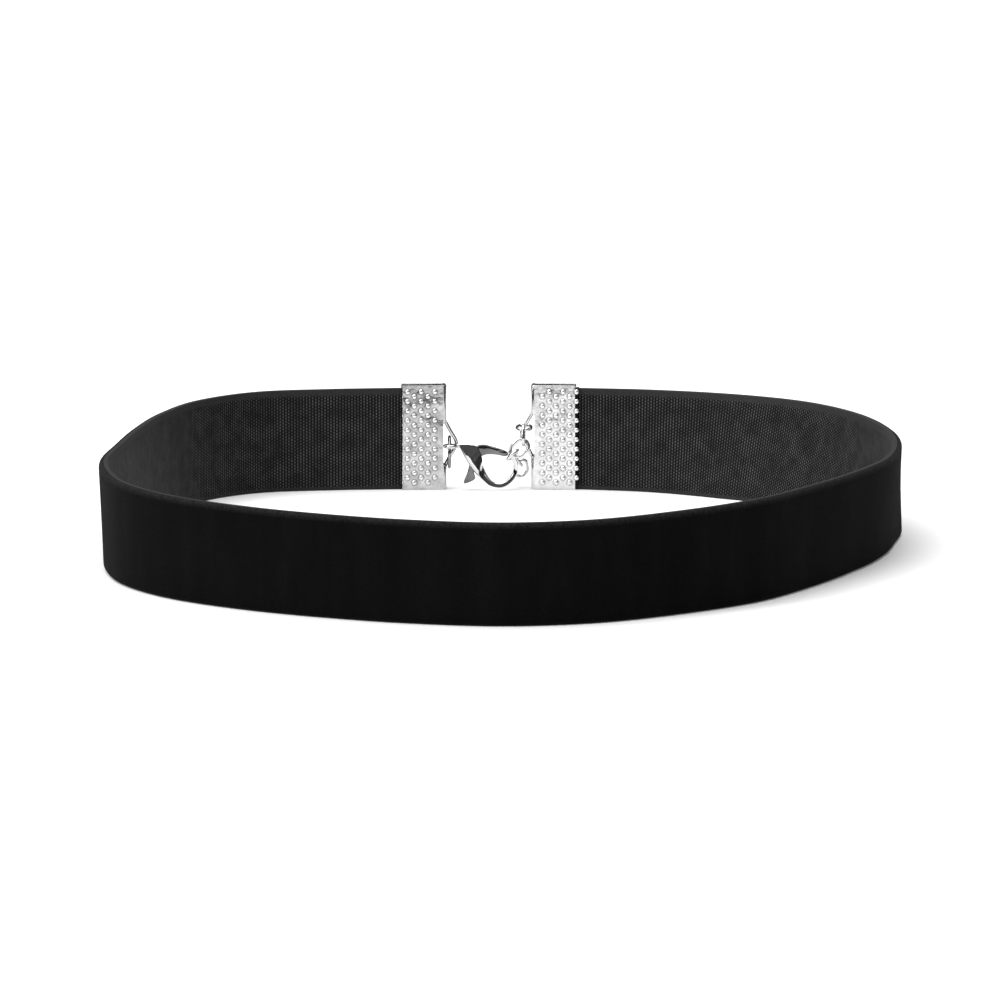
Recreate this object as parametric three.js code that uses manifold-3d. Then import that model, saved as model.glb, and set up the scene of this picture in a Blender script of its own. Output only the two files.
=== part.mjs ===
// Choker necklace: a velvet ribbon loop standing on its lower edge, closed at the back by a lobster clasp.
// Millimetres, +Z up, +X to the right, +Y away. The velvet front faces -Y and the closure is at +Y.
import * as THREE from 'three';
import * as BufferGeometryUtils from 'three/addons/utils/BufferGeometryUtils.js';
import Module from 'manifold-3d';

const wasm = await Module();
wasm.setup();

// Loop and ribbon
const loopWidth = 79;
const loopDepth = 99.5;
const ribbonWidth = 10;
const ribbonThickness = 1;
const stepsPerRow = 4;

// Closure at the back: the gap between the clamps, its middle, its place as a share of the half depth, and
// the clamps' turn from square
const closureGap = 8.6;
const closureShift = -1.32;
const closureReach = 0.985;
const clampTurn = THREE.MathUtils.degToRad(4);

// Ribbon clamps of folded sheet
const clampLength = 4.5;
const clampOverhang = 0.3;
const clampSheet = 0.35;
const clampFit = 0.12;
const ribbonSetback = 0.55;
const foldSteps = 3;

// Raised dots of the clamps: dotTop is a share of their radius, and dotFirstRow a share of a row's pitch
const dotRadius = 0.23;
const dotTop = 0.5;
const dotHeight = 0.16;
const dotRowPitch = 0.97;
const dotFirstRow = 0.65;
const dotColumnPitch = 0.69;
const dotRowCount = 10;
const dotSides = 6;

// Arch pushed out of each clamp's fold, which the rings hang on: slotHeight is a share of the arch's height
const archHeight = 4.9;
const archReach = 1.2;
const archStrip = 0.36;
const archDepth = 0.5;
const slotInset = 0.35;
const slotHeight = 0.86;
const leftArchRise = -0.7;
const rightArchRise = 0.2;

// Wire of the jump ring and the chain
const ringWire = 0.36;
const ringDiameter = 3.4;
const linkWire = 0.34;
const linkLength = 2.3;
const linkWidth = 1.75;
const linkPlay = 0.12;
const wireSides = 6;

// Lobster clasp
const claspLength = 6.5;
const claspDepth = 1.4;
const hookDepth = 0.5;
const claspTilt = THREE.MathUtils.degToRad(-28);
const edgeBevel = 0.1;
const eyeRadius = 0.57;
const eyeWire = 0.38;
const neckWire = 0.5;
const leverDepth = 0.55;
const slotDepth = 0.75;
const pinRadius = 0.22;
const pinFit = 0.04;
const pinSides = 12;

// Steps round the curved pieces
const ringSteps = 16;
const linkSteps = 12;
const eyeSteps = 14;
const profileSteps = 1;

// Columns of dots on each clamp, counted from its mouth
const leftFirstColumn = 0.53;
const leftColumnCount = 5;
const rightFirstColumn = -0.12;
const rightColumnCount = 6;

// Where the jump ring hangs on the left arch, how far round it the clasp's eye sits, and the eye's play on it
const ringStandoff = 0.34;
const ringDrop = 0.9;
const eyeTurn = THREE.MathUtils.degToRad(30);
const eyePlay = 0.12;
const neckLength = 0.49;
const neckRise = 0.1;
const claspShoulder = 0.5;

// Chosen route of the chain, in degrees: how its first link is turned and tilted on the right arch,
// and the bend from each link to the next
const chainHeight = 0.95;
const chainInset = 0.3;
const chainTurn = 87;
const chainTilt = -6;
const chainBends = [-72, 47, 90, 42, 25];

// Route of the ribbon's top edge from the left clamp round the front to the right clamp.
// across and away are shares of the half width and half depth, lean a share of the ribbon's width.
const ribbonRoute = [
  { across: -0.45, away: 0.96, lean: 0 },
  { across: -0.63, away: 0.92, lean: 0 },
  { across: -0.78, away: 0.79, lean: 0 },
  { across: -0.87, away: 0.60, lean: 0.02 },
  { across: -0.93, away: 0.37, lean: 0.04 },
  { across: -0.97, away: 0.14, lean: 0.06 },
  { across: -1.00, away: -0.07, lean: 0.07 },
  { across: -0.99, away: -0.25, lean: 0.03 },
  { across: -0.94, away: -0.44, lean: 0.02 },
  { across: -0.82, away: -0.62, lean: 0 },
  { across: -0.64, away: -0.77, lean: 0 },
  { across: -0.44, away: -0.88, lean: 0 },
  { across: -0.23, away: -0.96, lean: 0 },
  { across: 0.00, away: -1.00, lean: 0 },
  { across: 0.22, away: -0.96, lean: 0 },
  { across: 0.43, away: -0.84, lean: 0 },
  { across: 0.63, away: -0.67, lean: 0 },
  { across: 0.78, away: -0.46, lean: 0.05 },
  { across: 0.89, away: -0.27, lean: 0.11 },
  { across: 0.97, away: -0.08, lean: 0.13 },
  { across: 1.00, away: 0.14, lean: 0.07 },
  { across: 0.985, away: 0.35, lean: -0.08 },
  { across: 0.91, away: 0.59, lean: 0.10 },
  { across: 0.78, away: 0.77, lean: 0.28 },
  { across: 0.605, away: 0.88, lean: 0.28 },
  { across: 0.39, away: 0.95, lean: 0.08 },
];

// Profile of the clasp from its neck: along and up are shares of its length
const claspOuter = [
  { along: -0.020, up: -0.030 },
  { along: 0.195, up: -0.186 },
  { along: 0.343, up: -0.266 },
  { along: 0.512, up: -0.317 },
  { along: 0.690, up: -0.350 },
  { along: 0.828, up: -0.317 },
  { along: 0.923, up: -0.231 },
  { along: 0.978, up: -0.105 },
  { along: 0.975, up: 0.050 },
  { along: 0.900, up: 0.175 },
  { along: 0.790, up: 0.240 },
  { along: 0.700, up: 0.256 },
];
const claspInner = [
  { along: 0.712, up: 0.190 },
  { along: 0.800, up: 0.160 },
  { along: 0.868, up: 0.100 },
  { along: 0.905, up: -0.010 },
  { along: 0.885, up: -0.135 },
  { along: 0.818, up: -0.234 },
  { along: 0.700, up: -0.271 },
  { along: 0.585, up: -0.225 },
  { along: 0.468, up: -0.130 },
  { along: 0.410, up: 0.010 },
  { along: 0.365, up: 0.080 },
  { along: 0.300, up: 0.135 },
  { along: 0.235, up: 0.170 },
  { along: -0.015, up: 0.046 },
];
// Lever: thumb tab at its start, then the arm that closes the hook
const leverPivot = { along: 0.240, up: 0.010 };
const leverHub = 0.085;
const leverArm = [
  { along: 0.225, up: 0.095 },
  { along: 0.300, up: 0.170 },
  { along: 0.395, up: 0.200 },
  { along: 0.530, up: 0.228 },
  { along: 0.683, up: 0.243 },
  { along: 0.695, up: 0.178 },
  { along: 0.545, up: 0.125 },
  { along: 0.410, up: 0.055 },
  { along: 0.320, up: -0.020 },
];
const leverTab = [
  { along: 0.320, up: 0.000 },
  { along: 0.360, up: -0.250 },
  { along: 0.437, up: -0.357 },
  { along: 0.352, up: -0.482 },
  { along: 0.303, up: -0.489 },
  { along: 0.280, up: -0.320 },
  { along: 0.245, up: -0.200 },
  { along: 0.170, up: 0.000 },
];
// Bow of the clamps' arch from its top end to its middle: out is a share of its reach, up of its half height
const archBow = [
  { out: 0, up: 1.0 },
  { out: 0.12, up: 0.86 },
  { out: 0.52, up: 0.5 },
  { out: 0.88, up: 0.2 },
  { out: 1, up: 0 },
];
// The clasp's slot for the lever, from and to along its length
const claspSlot = { from: 0.115, to: 0.445, reach: 0.6 };

// Derived sizes
const halfRouteWidth = (loopWidth - ribbonThickness) / 2;
const halfRouteDepth = (loopDepth - ribbonThickness) / 2;
const clampThickness = ribbonThickness + 2 * (clampFit + clampSheet);
const clampHeight = ribbonWidth + 2 * clampOverhang;
const closureAway = halfRouteDepth * closureReach;
const closureRise = clampHeight / 2;

// Materials
const velvet = new THREE.MeshStandardMaterial({ color: 0x101012, roughness: 1.0, metalness: 0.0 });
const silver = new THREE.MeshStandardMaterial({ color: 0xc9cacc, roughness: 0.22, metalness: 1.0 });
const darkSteel = new THREE.MeshStandardMaterial({ color: 0x8e9094, roughness: 0.2, metalness: 1.0 });

// Solids and booleans
function toSolid(geometry) {
  const bare = geometry.index ? geometry.toNonIndexed() : geometry.clone();
  bare.deleteAttribute('normal');
  bare.deleteAttribute('uv');
  const merged = BufferGeometryUtils.mergeVertices(bare, 1e-5);
  return new wasm.Manifold(new wasm.Mesh({
    numProp: 3,
    vertProperties: Float32Array.from(merged.attributes.position.array),
    triVerts: Uint32Array.from(merged.index.array),
  }));
}

function toGeometry(solid) {
  const mesh = solid.getMesh();
  const geometry = new THREE.BufferGeometry();
  geometry.setAttribute('position', new THREE.BufferAttribute(mesh.vertProperties, 3));
  geometry.setIndex(new THREE.BufferAttribute(mesh.triVerts, 1));
  return geometry;
}

function namedMesh(name, geometry, material) {
  const mesh = new THREE.Mesh(geometry, material);
  mesh.name = name;
  return mesh;
}

// A closed ring of wire: an oval of the given centre-line half sizes in the XY plane
function wireOval(halfLength, halfWidth, wireDiameter, steps, sides) {
  const positions = [];
  const indices = [];
  const straight = Math.max(0, halfLength - halfWidth);
  for (let step = 0; step < steps; step += 1) {
    const turn = (2 * Math.PI * (step + 0.5)) / steps;
    const outward = new THREE.Vector3(Math.cos(turn), Math.sin(turn), 0);
    const centre = outward.clone().multiplyScalar(Math.min(halfLength, halfWidth));
    centre.x += Math.sign(outward.x) * straight;
    for (let side = 0; side < sides; side += 1) {
      const roll = (2 * Math.PI * side) / sides;
      const point = centre.clone().addScaledVector(outward, (wireDiameter / 2) * Math.cos(roll));
      positions.push(point.x, point.y, (wireDiameter / 2) * Math.sin(roll));
      const next = ((step + 1) % steps) * sides;
      const here = step * sides;
      const following = (side + 1) % sides;
      indices.push(here + side, next + side, next + following);
      indices.push(here + side, next + following, here + following);
    }
  }
  const geometry = new THREE.BufferGeometry();
  geometry.setAttribute('position', new THREE.Float32BufferAttribute(positions, 3));
  geometry.setIndex(indices);
  return geometry;
}

// Where a clamp stands: its spine, the mouth that the ribbon enters, and its heading towards the gap
function clampPlace(side) {
  const heading = new THREE.Vector3(-side * Math.cos(clampTurn), Math.sin(clampTurn), 0);
  const spine = new THREE.Vector3(closureShift + (side * closureGap) / 2, closureAway, 0);
  const mouth = spine.clone().addScaledVector(heading, -clampLength);
  return { side, heading, spine, mouth };
}

// Ribbon: stations along the top edge, each with its outward direction and lean
function ribbonStations(left, right) {
  const rows = ribbonRoute.map((row) => new THREE.Vector3(
    row.across * halfRouteWidth, row.away * halfRouteDepth, 0));
  const route = new THREE.CatmullRomCurve3([left.mouth, ...rows, right.mouth], false, 'centripetal');
  const leans = [0, ...ribbonRoute.map((row) => row.lean * ribbonWidth), 0];
  const count = (leans.length - 1) * stepsPerRow;
  const stations = [];
  for (let step = 1; step < count; step += 1) {
    const at = step / count;
    const row = Math.floor(at * (leans.length - 1));
    const part = at * (leans.length - 1) - row;
    const lean = THREE.MathUtils.lerp(leans[row], leans[row + 1], part);
    stations.push({ point: route.getPoint(at), along: route.getTangent(at), lean });
  }
  return stations;
}

function ribbonEnds(clamp, towardsLoop) {
  const along = clamp.heading.clone().multiplyScalar(towardsLoop ? -1 : 1);
  const end = clamp.spine.clone().addScaledVector(clamp.heading, -(clampSheet + ribbonSetback));
  return [{ point: end, along, lean: 0 }, { point: clamp.mouth, along, lean: 0 }];
}

function ribbonGeometry(left, right) {
  const stations = [
    ...ribbonEnds(left, true),
    ...ribbonStations(left, right),
    ...ribbonEnds(right, false).reverse(),
  ];
  const positions = [];
  const indices = [];
  stations.forEach((station, index) => {
    const outward = new THREE.Vector3(station.along.y, -station.along.x, 0).normalize();
    const rise = clampOverhang * THREE.MathUtils.clamp(
      (station.point.y + halfRouteDepth) / (closureAway + halfRouteDepth), 0, 1);
    const corners = [
      [ribbonThickness / 2 - station.lean, 0],
      [ribbonThickness / 2, ribbonWidth],
      [-ribbonThickness / 2, ribbonWidth],
      [-ribbonThickness / 2 - station.lean, 0],
    ];
    corners.forEach(([offset, height]) => {
      const point = station.point.clone().addScaledVector(outward, offset);
      positions.push(point.x, point.y, height + rise);
    });
    if (index === 0) return;
    const here = index * 4;
    const before = here - 4;
    for (let corner = 0; corner < 4; corner += 1) {
      const following = (corner + 1) % 4;
      indices.push(before + corner, here + corner, here + following);
      indices.push(before + corner, here + following, before + following);
    }
  });
  const last = (stations.length - 1) * 4;
  indices.push(0, 1, 2, 0, 2, 3);
  indices.push(last, last + 2, last + 1, last, last + 3, last + 2);
  const geometry = new THREE.BufferGeometry();
  geometry.setAttribute('position', new THREE.Float32BufferAttribute(positions, 3));
  geometry.setIndex(indices);
  return geometry;
}

// Clamp: x from the mouth to the fold, y across its thickness, z up
function clampFold() {
  const half = clampThickness / 2;
  const inner = half - clampSheet;
  const bend = Math.min(clampSheet, half);
  const outline = new THREE.Shape();
  outline.moveTo(0, -half);
  outline.lineTo(clampLength - bend, -half);
  outline.absarc(clampLength - bend, -half + bend, bend, -Math.PI / 2, 0, false);
  outline.lineTo(clampLength, half - bend);
  outline.absarc(clampLength - bend, half - bend, bend, 0, Math.PI / 2, false);
  outline.lineTo(0, half);
  outline.lineTo(0, inner);
  outline.lineTo(clampLength - clampSheet, inner);
  outline.lineTo(clampLength - clampSheet, -inner);
  outline.lineTo(0, -inner);
  outline.closePath();
  return new THREE.ExtrudeGeometry(outline, {
    depth: clampHeight, bevelEnabled: false, curveSegments: foldSteps });
}

function dotGeometry(face) {
  const depth = dotHeight + clampSheet / 2;
  const dome = new THREE.CylinderGeometry(dotRadius * dotTop, dotRadius, depth, dotSides);
  dome.translate(0, clampThickness / 2 + (dotHeight - clampSheet / 2) / 2, 0);
  if (face < 0) dome.rotateX(Math.PI);
  return dome;
}

function clampDots(firstColumn, columnCount) {
  const dots = [];
  for (let column = 0; column < columnCount; column += 1) {
    const shift = (column % 2) * dotRowPitch * 0.5;
    for (let row = 0; row < dotRowCount; row += 1) {
      const height = clampHeight - dotRowPitch * (dotFirstRow + row) - shift;
      if (height < dotRadius) continue;
      for (const face of [-1, 1]) {
        const dot = dotGeometry(face);
        dot.translate(firstColumn + column * dotColumnPitch, 0, height);
        dots.push(toSolid(dot));
      }
    }
  }
  return wasm.Manifold.union(dots);
}

// The arch is a strip bowed out of the fold, and the slot is the gap that it leaves
function archReachAt(up) {
  const row = archBow.findIndex((entry) => entry.up <= Math.abs(up));
  const low = archBow[Math.max(row, 1)];
  const high = archBow[Math.max(row, 1) - 1];
  const part = (high.up - Math.abs(up)) / (high.up - low.up);
  const out = THREE.MathUtils.lerp(high.out, low.out, part);
  return clampLength - clampSheet / 2 + out * (archReach + clampSheet / 2 - archStrip / 2);
}

// The strip's outline in the clamp's XZ plane, offset to either side of its middle line
function archStripSolid(centreHeight) {
  const rows = [...archBow, ...archBow.slice(0, -1).reverse().map(({ out, up }) => ({ out, up: -up }))];
  const middle = rows.map(({ up }) => new THREE.Vector2(
    archReachAt(up), centreHeight + (up * archHeight) / 2));
  const sides = [-1, 1].map((side) => middle.map((point, index) => {
    const before = middle[Math.max(index - 1, 0)];
    const after = middle[Math.min(index + 1, middle.length - 1)];
    const along = after.clone().sub(before).normalize().multiplyScalar((side * archStrip) / 2);
    return new THREE.Vector2(point.x - along.y, point.y + along.x);
  }));
  const outline = new THREE.Shape([...sides[0], ...sides[1].reverse()]);
  const strip = new THREE.ExtrudeGeometry(outline, { depth: archDepth, bevelEnabled: false });
  strip.translate(0, 0, -archDepth / 2);
  strip.rotateX(Math.PI / 2);
  return toSolid(strip);
}

function clampSolid(archRise, firstColumn, columnCount) {
  const centreHeight = clampHeight / 2 + archRise;
  const slot = new THREE.BoxGeometry(slotInset + clampSheet, clampThickness * 2, archHeight * slotHeight);
  slot.translate(clampLength - slotInset / 2 + clampSheet / 2, 0, centreHeight);
  return toSolid(clampFold())
    .add(clampDots(firstColumn, columnCount))
    .subtract(toSolid(slot))
    .add(archStripSolid(centreHeight));
}

function placeClamp(solid, clamp) {
  const geometry = toGeometry(solid);
  if (clamp.side > 0) geometry.rotateZ(Math.PI);
  geometry.rotateZ(clamp.side > 0 ? -clampTurn : clampTurn);
  geometry.translate(clamp.mouth.x, clamp.mouth.y, 0);
  return geometry;
}

// Clasp: its profile lies in the XZ plane, facing -Y
function profileShape(...lists) {
  const toPoint = ({ along, up }) => new THREE.Vector2(along * claspLength, up * claspLength);
  const shape = new THREE.Shape();
  const start = toPoint(lists[0][0]);
  shape.moveTo(start.x, start.y);
  lists.forEach((list, index) => {
    const points = list.map(toPoint);
    if (index > 0) shape.lineTo(points[0].x, points[0].y);
    shape.splineThru(points.slice(1));
  });
  shape.closePath();
  return shape;
}

function straightShape(list) {
  return new THREE.Shape(list.map(({ along, up }) => new THREE.Vector2(
    along * claspLength, up * claspLength)));
}

function slab(shape, depth, bevel, curveSegments) {
  const geometry = new THREE.ExtrudeGeometry(shape, {
    depth: depth - 2 * bevel,
    bevelEnabled: bevel > 0,
    bevelThickness: bevel,
    bevelSize: bevel,
    bevelOffset: -bevel,
    bevelSegments: 1,
    curveSegments,
  });
  geometry.translate(0, 0, bevel - depth / 2);
  geometry.rotateX(Math.PI / 2);
  return geometry;
}

function pivotRod(radius, length) {
  const rod = new THREE.CylinderGeometry(radius, radius, length, pinSides);
  rod.translate(leverPivot.along * claspLength, 0, leverPivot.up * claspLength);
  return rod;
}

function claspFrame(geometry) {
  geometry.rotateY(-claspTilt);
  geometry.translate(eyeRadius + neckLength, 0, neckRise);
  return geometry;
}

function eyeSolid() {
  const eye = wireOval(eyeRadius, eyeRadius, eyeWire, eyeSteps, wireSides);
  const neck = new THREE.CylinderGeometry(neckWire / 2, neckWire / 2, neckLength + neckWire, pinSides);
  neck.rotateZ(Math.PI / 2);
  neck.translate(eyeRadius + (neckLength + neckWire) / 2, 0, neckRise / 2);
  return toSolid(eye).add(toSolid(neck));
}

function slotBox() {
  const length = (claspSlot.to - claspSlot.from) * claspLength;
  const reach = claspSlot.reach * claspLength;
  const box = new THREE.BoxGeometry(length, slotDepth, reach * 2);
  box.translate(claspSlot.from * claspLength + length / 2, 0, 0);
  return box;
}

// The profile at full depth up to the slot's end and at the hook's depth beyond it
function claspBodySolid() {
  const profile = profileShape(claspOuter, claspInner);
  const deep = toSolid(claspFrame(slab(profile, claspDepth, edgeBevel, profileSteps)));
  const thin = toSolid(claspFrame(slab(profile, hookDepth, edgeBevel, profileSteps)));
  const shoulder = new THREE.BoxGeometry(claspLength, claspDepth * 2, claspLength * 2);
  shoulder.translate(claspLength * (claspShoulder - 0.5), 0, 0);
  const cheeks = deep.intersect(toSolid(claspFrame(shoulder)));
  const pinHole = pivotRod(pinRadius + pinFit, claspDepth * 2);
  return thin.add(cheeks)
    .add(eyeSolid())
    .subtract(toSolid(claspFrame(slotBox())))
    .subtract(toSolid(claspFrame(pinHole)));
}

function leverSolid() {
  const hub = pivotRod(leverHub * claspLength, leverDepth);
  const arm = slab(straightShape(leverArm), leverDepth, 0, 1);
  const tab = slab(straightShape(leverTab), leverDepth, 0, 1);
  const hole = pivotRod(pinRadius + pinFit, claspDepth * 2);
  return toSolid(claspFrame(hub))
    .add(toSolid(claspFrame(arm)))
    .add(toSolid(claspFrame(tab)))
    .subtract(toSolid(claspFrame(hole)));
}

// Chain: each link turns from the last about that link's end wire, by the bends of chainBends
function chainPlaces() {
  const halfLength = (linkLength - linkWire) / 2;
  const pitch = linkWire + linkPlay;
  const upright = new THREE.Vector3(0, 0, 1);
  const turn = THREE.MathUtils.degToRad(chainTurn);
  let transverse = new THREE.Vector3(0, 1, 0).applyAxisAngle(upright, turn);
  let along = new THREE.Vector3(-1, 0, 0).applyAxisAngle(upright, turn)
    .applyAxisAngle(transverse, THREE.MathUtils.degToRad(chainTilt));
  const stripReach = archReachAt((chainHeight - rightArchRise) / (archHeight / 2)) - clampLength;
  const centre = new THREE.Vector3(closureGap / 2 - stripReach, 0, chainHeight)
    .addScaledVector(along, chainInset);
  const places = [{ centre: centre.clone(), along: along.clone(), transverse: transverse.clone() }];
  chainBends.forEach((bend) => {
    centre.addScaledVector(along, halfLength);
    along = along.clone().applyAxisAngle(transverse, THREE.MathUtils.degToRad(bend));
    transverse = new THREE.Vector3().crossVectors(along, transverse);
    centre.addScaledVector(along, halfLength - pitch);
    places.push({ centre: centre.clone(), along: along.clone(), transverse: transverse.clone() });
  });
  return places;
}

function linkMesh(place, number) {
  const oval = wireOval(
    (linkLength - linkWire) / 2, (linkWidth - linkWire) / 2, linkWire, linkSteps, wireSides);
  const mesh = namedMesh(`chain_link_${number}`, oval, silver);
  const facing = new THREE.Vector3().crossVectors(place.along, place.transverse);
  mesh.quaternion.setFromRotationMatrix(new THREE.Matrix4().makeBasis(place.along, place.transverse, facing));
  mesh.position.copy(place.centre);
  return mesh;
}

// Assembly
const leftClamp = clampPlace(-1);
const rightClamp = clampPlace(1);
const leftSolid = clampSolid(leftArchRise, leftFirstColumn, leftColumnCount);
const rightSolid = clampSolid(rightArchRise, rightFirstColumn, rightColumnCount);

const closure = new THREE.Group();
closure.position.set(closureShift, closureAway, closureRise);

const ringRadius = (ringDiameter - ringWire) / 2;
const ringOval = wireOval(ringRadius, ringRadius, ringWire, ringSteps, wireSides);
const jumpRing = namedMesh('jump_ring', ringOval, silver);
jumpRing.rotation.y = Math.PI / 2;
jumpRing.position.set(-closureGap / 2 + ringStandoff, 0, leftArchRise - ringDrop);

const clasp = new THREE.Group();
clasp.position.set(jumpRing.position.x + eyePlay, -ringRadius * Math.cos(eyeTurn),
  jumpRing.position.z + ringRadius * Math.sin(eyeTurn));
clasp.add(namedMesh('clasp_body', toGeometry(claspBodySolid()), darkSteel));
clasp.add(namedMesh('clasp_lever', toGeometry(leverSolid()), darkSteel));
clasp.add(namedMesh('clasp_pin', claspFrame(pivotRod(pinRadius, claspDepth)), darkSteel));

closure.add(jumpRing, clasp);
chainPlaces().forEach((place, index) => closure.add(linkMesh(place, index + 1)));

const choker = new THREE.Group();
choker.add(namedMesh('velvet_ribbon', ribbonGeometry(leftClamp, rightClamp), velvet));
choker.add(namedMesh('left_ribbon_clamp', placeClamp(leftSolid, leftClamp), silver));
choker.add(namedMesh('right_ribbon_clamp', placeClamp(rightSolid, rightClamp), silver));
choker.add(closure);

// The origin is under the middle of the whole necklace's box, at its lowest level
const box = new THREE.Box3().setFromObject(choker, true);
const middle = box.getCenter(new THREE.Vector3());
choker.position.set(-middle.x, -middle.y, -box.min.z);

export default choker;
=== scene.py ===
"""A velvet ribbon choker standing on a pale floor, closed at the back by a lobster clasp."""
import math

import bmesh
import bpy
import numpy as np
from mathutils import Matrix, Vector


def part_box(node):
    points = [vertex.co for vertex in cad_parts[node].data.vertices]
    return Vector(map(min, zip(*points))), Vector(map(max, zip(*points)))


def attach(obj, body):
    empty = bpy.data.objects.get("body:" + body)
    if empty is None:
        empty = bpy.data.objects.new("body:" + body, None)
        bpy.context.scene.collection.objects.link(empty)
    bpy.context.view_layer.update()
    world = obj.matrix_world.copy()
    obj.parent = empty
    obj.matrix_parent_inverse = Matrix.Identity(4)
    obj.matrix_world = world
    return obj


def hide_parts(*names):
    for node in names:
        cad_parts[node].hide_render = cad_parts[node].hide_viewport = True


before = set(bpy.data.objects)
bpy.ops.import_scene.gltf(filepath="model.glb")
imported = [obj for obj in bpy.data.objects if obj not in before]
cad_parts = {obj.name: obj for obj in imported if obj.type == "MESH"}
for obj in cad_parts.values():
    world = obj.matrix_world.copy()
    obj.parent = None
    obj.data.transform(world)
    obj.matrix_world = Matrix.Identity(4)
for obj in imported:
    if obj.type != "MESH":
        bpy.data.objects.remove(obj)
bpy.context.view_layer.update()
MM = 0.001

# Ribbon, in mm
RIBBON_WIDTH = 10.0
RIBBON_THICKNESS = 1.0
PILE_ROUND = 0.52
EDGE_STEPS = 6
CURVE_STEPS = 3

# Clamps, in mm: a folded sheet with rows of dots on both faces
CLOSURE_GAP = 8.6
CLAMP_TURN = math.radians(4)
CLAMP_LENGTH = 4.5
CLAMP_SHEET = 0.35
CLAMP_FIT = 0.12
CLAMP_HEIGHT = RIBBON_WIDTH + 0.6
CLAMP_THICKNESS = RIBBON_THICKNESS + 2 * (CLAMP_FIT + CLAMP_SHEET)
CLAMP_EDGE = 0.06
FOLD_STEPS = 6
DOT_RADIUS = 0.27
DOT_HEIGHT = 0.18
DOT_SIDES = 10
DOT_RINGS = 4
ROW_PITCH = 0.97
COLUMN_PITCH = 0.69
ROW_COUNT = 10
FIRST_ROW = 0.65
LEFT_FIRST_COLUMN = 0.53
LEFT_COLUMN_COUNT = 5
RIGHT_FIRST_COLUMN = -0.12
RIGHT_COLUMN_COUNT = 6

# Arch pushed out of each clamp's fold, in mm: SLOT_SHARE is a share of its height
ARCH_HEIGHT = 4.9
ARCH_REACH = 1.2
ARCH_STRIP = 0.36
ARCH_DEPTH = 0.5
SLOT_INSET = 0.35
SLOT_SHARE = 0.86
LEFT_RISE = -0.7
RIGHT_RISE = 0.2

# Jump ring and chain, in mm
RING_WIRE = 0.36
RING_DIAMETER = 3.4
RING_STANDOFF = 0.34
RING_DROP = 0.9
LINK_WIRE = 0.34
LINK_LENGTH = 2.3
LINK_WIDTH = 1.75
LINK_COUNT = 6
WIRE_SIDES = 14

# Clasp, in mm
CLASP_LENGTH = 6.5
CLASP_DEPTH = 1.4
HOOK_DEPTH = 0.5
CLASP_TILT = math.radians(-28)
EYE_RADIUS = 0.57
EYE_WIRE = 0.38
EYE_PLAY = 0.12
EYE_TURN = math.radians(30)
NECK_LENGTH = 0.49
NECK_WIRE = 0.5
NECK_RISE = 0.1
LEVER_DEPTH = 0.55
LEVER_ROUND = 0.16
SLOT_DEPTH = 0.75
PIN_INSET = 0.28

# Shares of the clasp's length: the slot for the lever, and the stretch where the body turns into the hook
SLOT_START = 0.115
SLOT_LENGTH = 0.33
SLOT_REACH = 0.6
HOOK_START = 0.3
HOOK_END = 0.8

# Profile of the claw, in shares of the clasp's length: outer edge along and up, inner edge along and up
CLAW_PAIRS = [
    (-0.02, -0.03, -0.015, 0.046), (0.09, -0.11, 0.11, 0.115), (0.17, -0.168, 0.235, 0.17),
    (0.25, -0.217, 0.3, 0.135), (0.343, -0.266, 0.365, 0.08), (0.42, -0.293, 0.41, 0.01),
    (0.505, -0.316, 0.468, -0.13), (0.6, -0.336, 0.585, -0.225), (0.69, -0.35, 0.7, -0.271),
    (0.828, -0.317, 0.818, -0.234), (0.923, -0.231, 0.885, -0.135), (0.978, -0.09, 0.905, -0.03),
    (0.972, 0.06, 0.892, 0.05), (0.9, 0.175, 0.85, 0.125), (0.79, 0.24, 0.778, 0.172),
    (0.7, 0.256, 0.712, 0.19)]

# Outlines of the lever's arm and tab, in shares of the clasp's length: along and up
LEVER_ARM = [(0.225, 0.095), (0.3, 0.17), (0.395, 0.2), (0.53, 0.228), (0.683, 0.243), (0.695, 0.178),
             (0.545, 0.125), (0.41, 0.055), (0.32, -0.02)]
LEVER_TAB = [(0.32, 0.0), (0.36, -0.25), (0.437, -0.357), (0.352, -0.482), (0.303, -0.489), (0.28, -0.32),
             (0.245, -0.2), (0.17, 0.0)]

# Sections of the claw's body and hook, in half sizes: across from the outer to the inner edge, and forward
BODY_SECTION = [(-1, 0), (-0.98, 0.35), (-0.88, 0.75), (-0.68, 1.0), (-0.2, 0.83), (0.25, 0.66), (0.6, 0.5),
                (0.88, 0.3), (1, 0)]
HOOK_SECTION = [(-1, 0), (-0.99, 0.5), (-0.94, 0.85), (-0.8, 1.0), (-0.3, 0.86), (0.2, 0.7), (0.6, 0.55),
                (0.86, 0.35), (1, 0)]

# Bow of an arch: share of its reach, and share of half its height
ARCH_BOW = [(0, 1.0), (0.12, 0.86), (0.52, 0.5), (0.88, 0.2), (1, 0), (0.88, -0.2), (0.52, -0.5),
            (0.12, -0.86), (0, -1.0)]

# Rounded rim of a plate: share of the way out to its outline, and share of its depth
PLATE_RIM = [(0.0, 0.5), (0.55, 0.5), (0.8, 0.44), (0.94, 0.28), (1.0, 0.0), (0.94, -0.28), (0.8, -0.44),
             (0.55, -0.5), (0.0, -0.5)]

# Maps hold places in mm divided by these spans
ALONG_SPAN = 300.0
ACROSS_SPAN = 30.0
CLAMP_SPAN = 100.0

# Weave of the ribbon's back, in mm
RIB_PITCH = 0.31
CROSSING_PITCH = 0.3

# Camera: its distance in metres, how far it looks down, and its aim, lens and sensor in mm
CAMERA_AWAY = 1.85
CAMERA_DOWN = math.radians(7.8)
CAMERA_AIM = (-0.27, 3.1, 5.0)
CAMERA_LENS = 676.3
CAMERA_SENSOR = 36.0

# Half the floor's width, in metres
FLOOR_HALF = 4.0

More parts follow.
